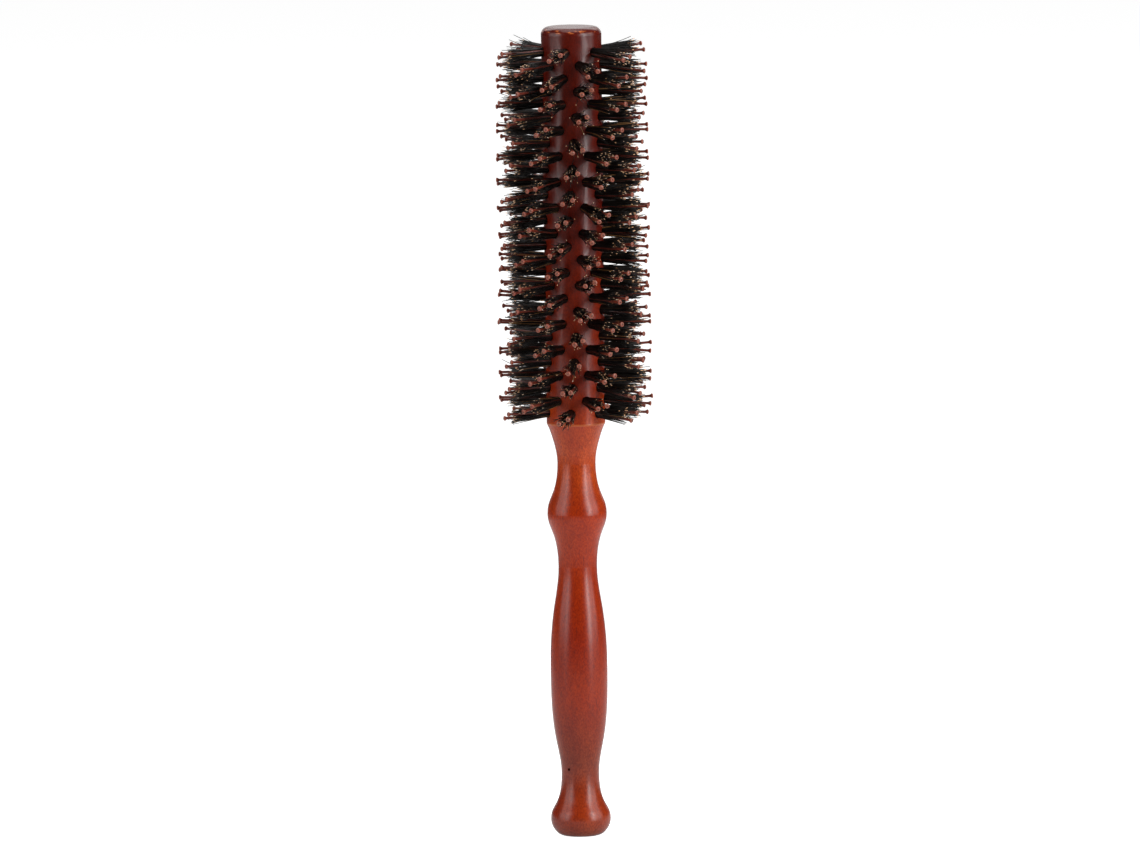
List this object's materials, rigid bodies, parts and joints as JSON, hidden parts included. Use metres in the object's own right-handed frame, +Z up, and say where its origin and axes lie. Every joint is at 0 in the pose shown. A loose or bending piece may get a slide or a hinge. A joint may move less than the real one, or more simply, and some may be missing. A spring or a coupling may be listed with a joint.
{
  "type": "round hair brush",
  "caption": "Small round hair brush: turned lacquered-wood handle and barrel, spiral rows of bristle tufts, each with a pair of headed nylon pins.",
  "frame": {"origin": "centre of the handle's flat end, which the brush stands on", "axes": "+Z up the brush's axis from the handle's end to the barrel's end, -Y the front, +X to the right as seen from the front"},
  "size_m": [0.0438, 0.0438, 0.23],
  "materials": {
    "lacquered_wood": "gloss",
    "boar_bristle": "satin",
    "nylon": "satin",
    "anchor_wire": "satin"
  },
  "bodies": {
    "root": {"wooden_body": "lacquered_wood", "bristle_row_01": "boar_bristle", "nylon_pin_row_01": "nylon", "anchor_row_01": "anchor_wire", "bristle_row_02": "boar_bristle", "nylon_pin_row_02": "nylon", "anchor_row_02": "anchor_wire", "bristle_row_03": "boar_bristle", "nylon_pin_row_03": "nylon", "anchor_row_03": "anchor_wire", "bristle_row_04": "boar_bristle", "nylon_pin_row_04": "nylon", "anchor_row_04": "anchor_wire", "bristle_row_05": "boar_bristle", "nylon_pin_row_05": "nylon", "anchor_row_05": "anchor_wire", "bristle_row_06": "boar_bristle", "nylon_pin_row_06": "nylon", "anchor_row_06": "anchor_wire", "bristle_row_07": "boar_bristle", "nylon_pin_row_07": "nylon", "anchor_row_07": "anchor_wire", "bristle_row_08": "boar_bristle", "nylon_pin_row_08": "nylon", "anchor_row_08": "anchor_wire", "bristle_row_09": "boar_bristle", "nylon_pin_row_09": "nylon", "anchor_row_09": "anchor_wire", "bristle_row_10": "boar_bristle", "nylon_pin_row_10": "nylon", "anchor_row_10": "anchor_wire", "bristle_row_11": "boar_bristle", "nylon_pin_row_11": "nylon", "anchor_row_11": "anchor_wire", "bristle_row_12": "boar_bristle", "nylon_pin_row_12": "nylon", "anchor_row_12": "anchor_wire"}
  },
  "joints": []
}
